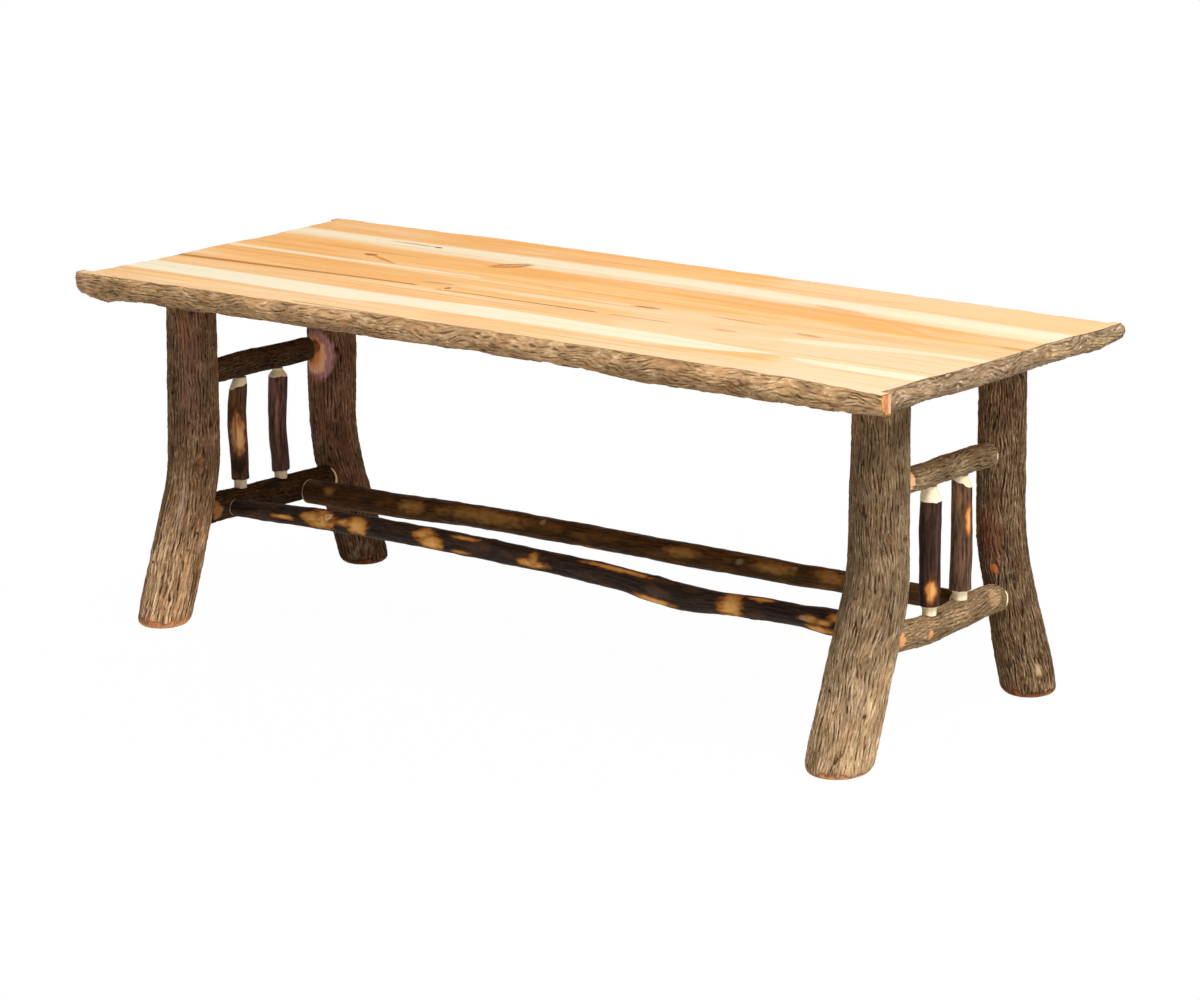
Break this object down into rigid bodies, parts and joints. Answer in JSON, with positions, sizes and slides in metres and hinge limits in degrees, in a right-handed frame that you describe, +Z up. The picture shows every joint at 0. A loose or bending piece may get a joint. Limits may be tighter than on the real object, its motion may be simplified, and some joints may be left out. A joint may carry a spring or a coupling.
{
  "type": "rustic log coffee table",
  "caption": "Low rustic table with a glued plank top edged in half logs, on bark-covered log legs with splayed feet, spindled end frames and a pair of log stretchers.",
  "frame": {"origin": "on the floor, under the middle of the top", "axes": "+X along the top's length to the right, +Y from the front to the back, +Z up"},
  "size_m": [1.2282, 0.521, 0.4572],
  "materials": {
    "plank_wood": "satin clear lacquer over glued hickory planks",
    "rough_bark": "fissured hickory bark under clear lacquer",
    "smooth_bark": "smooth young bark with peeled orange patches",
    "edge_bark": "grey-brown bark on split half logs",
    "cleat_wood": "planed hardwood, clear sealed",
    "steel": "zinc plated"
  },
  "bodies": {
    "root": {"front_board": "plank_wood", "second_board": "plank_wood", "middle_board": "plank_wood", "wide_board": "plank_wood", "back_board": "plank_wood", "front_edge_log": "edge_bark", "back_edge_log": "edge_bark", "left_edge_log": "edge_bark", "right_edge_log": "edge_bark", "front_left_leg": "rough_bark", "front_right_leg": "rough_bark", "back_left_leg": "rough_bark", "back_right_leg": "rough_bark", "left_upper_rail": "rough_bark", "right_upper_rail": "rough_bark", "left_lower_rail": "rough_bark", "right_lower_rail": "rough_bark", "left_front_spindle": "smooth_bark", "left_back_spindle": "smooth_bark", "right_front_spindle": "smooth_bark", "right_back_spindle": "smooth_bark", "front_stretcher": "smooth_bark", "back_stretcher": "smooth_bark", "left_cleat": "cleat_wood", "right_cleat": "cleat_wood", "centre_batten": "cleat_wood", "cleat_screws": "steel", "leg_lag_screws": "steel", "rail_nails": "steel", "stretcher_nails": "steel", "edge_nails": "steel"}
  },
  "joints": []
}
